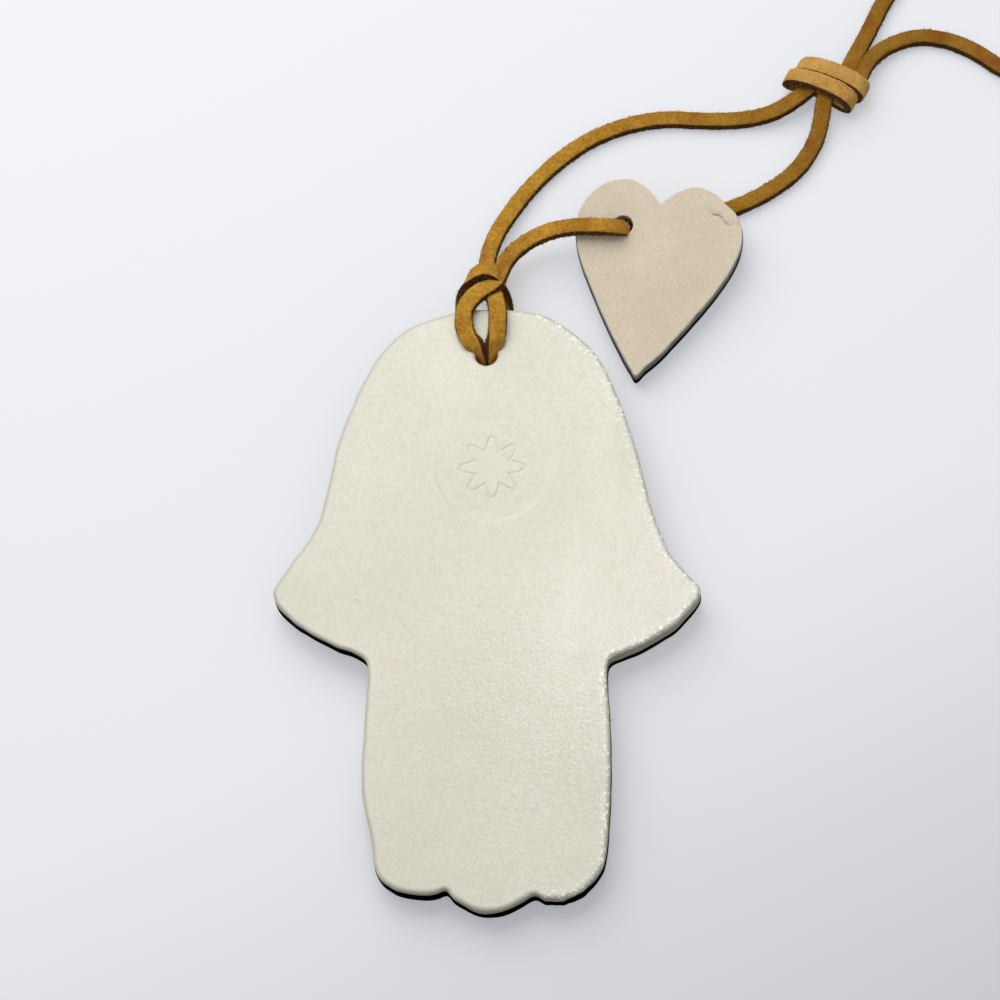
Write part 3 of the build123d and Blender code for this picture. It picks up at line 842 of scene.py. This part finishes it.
# %% Suede
def suede_finish(name, low, high, nap_share, toward_loop_share):
    """Suede, low to high colour: paler nap, darker to the loop, cut edges dark, partly painted shade."""
    suede = Finish(name)
    patch = suede.noise(260.0, 3.0, 0.6)
    nap = suede.noise(1500.0, 5.0, 0.8)
    fibre = suede.noise(5200.0, 3.0, 0.6)
    brown = suede.blend(suede.spread(patch, 0.3, 0.7), low, high)
    brown = suede.tinge(brown, nap, 0.5, 0.72, nap_share, (214, 168, 98))
    brown = suede.tinge(brown, nap, 0.47, 0.28, 0.8, (92, 54, 14))
    toward_loop = suede.add("ShaderNodeSeparateXYZ", {0: suede.place}).outputs["X"]
    # Darker towards the hanging loop, along x.
    brown = suede.tinge(brown, toward_loop, 0.01, 0.058, toward_loop_share, (104, 66, 10))
    brown = suede.tinge(brown, suede.noise(120.0, 2.0), 0.58, 0.7, 0.45, (120, 44, 18))
    # Cut edges painted dark red-brown: partly their own colour, partly painted shade.
    brown = suede.tinge(brown, suede.fact("side"), 0.9, 0.95, 0.96, (46, 16, 10))
    nap_relief = suede.relief(fibre, 0.5, 0.00012)
    suede.put(
        Base_Color=brown,
        Roughness=0.95,
        Specular_IOR_Level=0.12,
        Sheen_Weight=0.2,
        Sheen_Roughness=0.6,
        Sheen_Tint=linear(220, 180, 120),
        Normal=suede.relief(nap, 0.9, 0.0002, nap_relief),
    )
    return suede


suede = suede_finish("tan_suede", linear(156, 108, 22), linear(190, 140, 44), 0.6, 0.55)
knot_suede = suede_finish("rubbed_suede", linear(186, 136, 60), linear(216, 168, 96), 0.5, 0.12)

# %% [markdown]
# ## Clear-glazed stoneware
# The hand's back is cream clay under a thin clear glaze. Up close it is faintly mottled with ochre, green and
# pink, and the cut wall is painted greyer, partly its own clay and partly painted shade. The glaze catches
# light in small glints on its ripples, and along the right rim white specks are painted on as glints. One
# plain colour with gloss would look like plastic, so each of these is a blend of its own, and a thin clear
# coat over the clay gives the glints that are not painted.

# %% Stoneware
stone = Finish("cream_stoneware")
cloud = stone.noise(34.0, 4.0, 0.6)
mottle = stone.noise(1500.0, 4.0, 0.7)
speck = stone.noise(3200.0, 2.0, 0.5)
tint = stone.noise(700.0, 2.0, 0.6)
green = stone.noise(610.0, 3.0, 0.6, place=stone.stretch(1.1))
cream = stone.blend(stone.spread(cloud, 0.35, 0.7), linear(217, 213, 197), linear(224, 221, 206))
cream = stone.tinge(cream, mottle, 0.42, 0.6, 0.5, (207, 202, 180))
cream = stone.tinge(cream, tint, 0.55, 0.7, 0.5, (221, 202, 188))
cream = stone.tinge(cream, green, 0.57, 0.7, 0.4, (201, 209, 183))
cream = stone.tinge(cream, speck, 0.64, 0.74, 0.3, (160, 156, 126))
cream = stone.tinge(cream, stone.fact("stain"), 0.1, 0.9, 0.4, (176, 168, 104))
# The wall painted greyer and darker: partly its own clay colour, partly painted shade.
cream = stone.tinge(cream, stone.fact("wall"), 0.15, 0.85, 0.9, (158, 149, 128))
# Painted glints: white specks along the right rim.
rim_painted_glints = stone.spread(stone.noise(1700.0, 1.0, 0.5), 0.56, 0.64)
rim_painted_glints = stone.maths(rim_painted_glints, stone.fact("rim"), "MULTIPLY")
cream = stone.blend(rim_painted_glints, cream, linear(250, 250, 246))
streak = stone.noise(60.0, 3.0, 0.6, place=stone.stretch(-0.75, (1, 0.25, 1)))
glassy = stone.spread(streak, 0.52, 0.66)
swell = stone.relief(stone.noise(160.0, 2.0), 0.12, 0.0006)
fine = stone.relief(stone.noise(1700.0, 3.0, 0.6), 0.3, 0.00015, swell)
stone.put(
    Base_Color=cream,
    Roughness=stone.spread(glassy, 0.0, 1.0, 0.5, 0.26),
    Specular_IOR_Level=0.35,
    Coat_Weight=0.3,
    Coat_Roughness=0.1,
    Normal=fine,
    Coat_Normal=fine,
)

# %% [markdown]
# ## Biscuit clay
# The heart's back is bare fired clay, pinkish beige and matt, with the fine weave of the cloth it was pressed
# on. Real threads would take far too many faces, so a bump of two crossed sets of fine bands makes the weave.

# %% Biscuit
biscuit = Finish("bare_biscuit_clay")
broad = biscuit.noise(90.0, 3.0)
grain = biscuit.noise(2600.0, 4.0, 0.75)
pink = biscuit.blend(biscuit.spread(broad, 0.35, 0.7), linear(210, 197, 174), linear(218, 204, 182))
pink = biscuit.tinge(pink, grain, 0.45, 0.68, 0.55, (184, 168, 143))
pink = biscuit.tinge(pink, biscuit.noise(800.0, 2.0), 0.56, 0.7, 0.4, (226, 196, 172))
# Painted shade: the wall and rounded back edge are painted darker.
pink = biscuit.tinge(pink, biscuit.fact("wall"), 0.2, 0.9, 0.6, (150, 138, 118))
# Painted shade: the crack is painted darker in its groove.
pink = biscuit.tinge(pink, biscuit.fact("crack"), 0.35, 0.9, 0.7, (120, 100, 78))
weave_turn = 0.35
threads = [
    biscuit.add(
        "ShaderNodeTexWave", {"Vector": biscuit.stretch(turn), "Scale": 520.0, "Distortion": 1.2}
    ).outputs["Fac"]
    for turn in (weave_turn, weave_turn + math.pi / 2)
]
weave = biscuit.maths(*threads)
biscuit.put(
    Base_Color=pink,
    Roughness=0.85,
    Specular_IOR_Level=0.25,
    Normal=biscuit.relief(grain, 0.4, 0.00015, biscuit.relief(weave, 0.3, 0.00008)),
)

# %% [markdown]
# ## Dark front glaze
# The glaze on the fronts is nearly black with blue-green in its flow, and plum where it is thin near its
# ragged line on the hand. On the heart a grey-teal band near that line is a painted reflection of the pale
# surroundings. It is glassy, which a coat shows best. The coat fades up the wall, because there it was wiped
# dull, and a glossy wall seen at a slant would only mirror the pale table.

# %% Front glaze
def dark_glaze_finish(name, thin_glaze_and_reflection, start, end):
    """Near-black glaze with a band between two heights in mm: thin plum on the hand, painted reflection on
    the heart.
    """
    glaze = Finish(name)
    flow = glaze.noise(120.0, 3.0, 0.5, warp=0.6)
    deep = glaze.blend(glaze.spread(flow, 0.35, 0.65), linear(4, 6, 8), linear(14, 6, 10))
    deep = glaze.tinge(deep, flow, 0.55, 0.8, 0.6, (8, 40, 40))
    high = glaze.maths(glaze.fact("level"), glaze.spread(flow, 0.3, 0.7, -0.3, 0.3))
    deep = glaze.blend(glaze.spread(high, start, end), deep, thin_glaze_and_reflection)
    glaze.put(
        Base_Color=deep,
        Roughness=0.5,
        Specular_IOR_Level=0.0,
        Coat_Weight=glaze.spread(glaze.fact("level"), 0.2, 0.9, 1.0, 0.0),
        Coat_Roughness=0.08,
        Normal=glaze.relief(glaze.noise(260.0, 2.0), 0.2, 0.0005),
    )
    return glaze


hand_dark = dark_glaze_finish("plum_black_glaze", linear(112, 92, 94), 4.5, 5.2)
# On the heart the band is a painted reflection: pale surroundings mirrored grey-teal on the upper wall.
heart_dark = dark_glaze_finish("teal_black_glaze", linear(122, 132, 128), 2.0, 2.9)

# %% [markdown]
# ## Dressing the pieces
# Each piece gets its finish and the body it moves with, and the frame's solids that the pieces stand for are
# hidden. The two strands move with no body: their places are baked into their points.

# %% Finishes
for piece, finish, slot in (
    (hand, stone, "hand_clay"),
    (hand_glaze, hand_dark, "front_glaze"),
    (heart, biscuit, "heart_clay"),
    (heart_glaze, heart_dark, "front_glaze"),
    (hitch, suede, "suede_lace"),
    (plain_strand, suede, "suede_lace"),
    (heart_strand, suede, "suede_lace"),
    (knot, knot_suede, "suede_lace"),
    (hanging_loop, suede, "suede_lace"),
):
    piece.data.materials.clear()
    piece.data.materials.append(finish.material)

# %% Bodies
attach(hand, "hand")
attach(hand_glaze, "hand")
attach(hitch, "hand")
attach(heart, "heart")
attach(heart_glaze, "heart")
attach(knot, "lace")
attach(hanging_loop, "lace")
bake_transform(plain_strand)
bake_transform(heart_strand)

# %% The solids they stand for
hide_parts("hand_clay")
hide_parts("hand_front_glaze")
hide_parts("heart_clay")
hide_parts("heart_front_glaze")
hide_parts("lace_hitch")
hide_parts("lace_plain_strand")
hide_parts("lace_heart_strand")
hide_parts("lace_knot")
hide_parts("lace_hanging_loop")


# %% [markdown]
# ## The table and the light
# The ornament lies on a plain white table under soft daylight from beyond its dome. A wide lamp high up gives
# the soft shadow, a small one the glints in the glaze, and an even world fills the rest. The table could be
# made white by more light, but the clay would burn out with it. So its colour is a pale grey, and a glow that
# only the camera sees lifts it, less away from the light. Far off it fades into a pale haze.

# %% Table
floor_mesh = bpy.data.meshes.new("table_top")
half = 3.0
corners = [(-half, -half, 0), (half, -half, 0), (half, half, 0), (-half, half, 0)]
floor_mesh.from_pydata(corners, [], [(0, 1, 2, 3)])
table_top = bpy.data.objects.new("table_top", floor_mesh)
scene.collection.objects.link(table_top)
paper = Finish("pale_table")
light_way = (-0.4, 0.9, 0.0)
ray = paper.add("ShaderNodeLightPath")
seen = paper.maths(ray.outputs["Is Camera Ray"], ray.outputs["Is Glossy Ray"], "MAXIMUM")
far = paper.add("ShaderNodeVectorMath", {0: paper.place}, operation="LENGTH").outputs["Value"]
haze = paper.maths(seen, paper.spread(far, 0.25, 0.9, 0.0, 0.7), "MULTIPLY")
toward_light = paper.add("ShaderNodeVectorMath", {0: paper.place, 1: light_way}, operation="DOT_PRODUCT")
glow = paper.spread(toward_light.outputs["Value"], -0.13, -0.02, 0.16, 0.42)
paper.put(
    Base_Color=linear(178, 179, 182),
    Roughness=0.7,
    Specular_IOR_Level=0.2,
    Emission_Color=linear(240, 241, 245),
    Emission_Strength=paper.maths(haze, paper.maths(ray.outputs["Is Camera Ray"], glow, "MULTIPLY")),
)
floor_mesh.materials.append(paper.material)


# %% Lamps and daylight
def lamp(name, place, size, power, colour):
    """A square area lamp that looks at the ornament's middle."""
    data = bpy.data.lights.new(name, "AREA")
    data.size = size
    data.energy = power
    data.color = colour
    light = bpy.data.objects.new(name, data)
    light.visible_camera = False
    light.location = place
    light.rotation_euler = (look_at - Vector(place)).to_track_quat("-Z", "Y").to_euler()
    scene.collection.objects.link(light)


lamp("key_lamp", (-0.18, 0.34, 0.45), 0.6, 2.8, (1.0, 0.99, 0.97))
lamp("fill_lamp", (0.05, -0.25, 0.75), 0.3, 0.22, (0.97, 0.98, 1.0))
lamp("glint_lamp", (0.01, 0.136, 0.48), 0.035, 0.12, (1.0, 1.0, 1.0))
world = bpy.data.worlds.new("soft_daylight")
world.use_nodes = True
sky = world.node_tree.nodes["Background"].inputs
sky["Color"].default_value = (0.93, 0.96, 1.0, 1.0)
sky["Strength"].default_value = 0.5
scene.world = world
scene.view_settings.view_transform = "Standard"
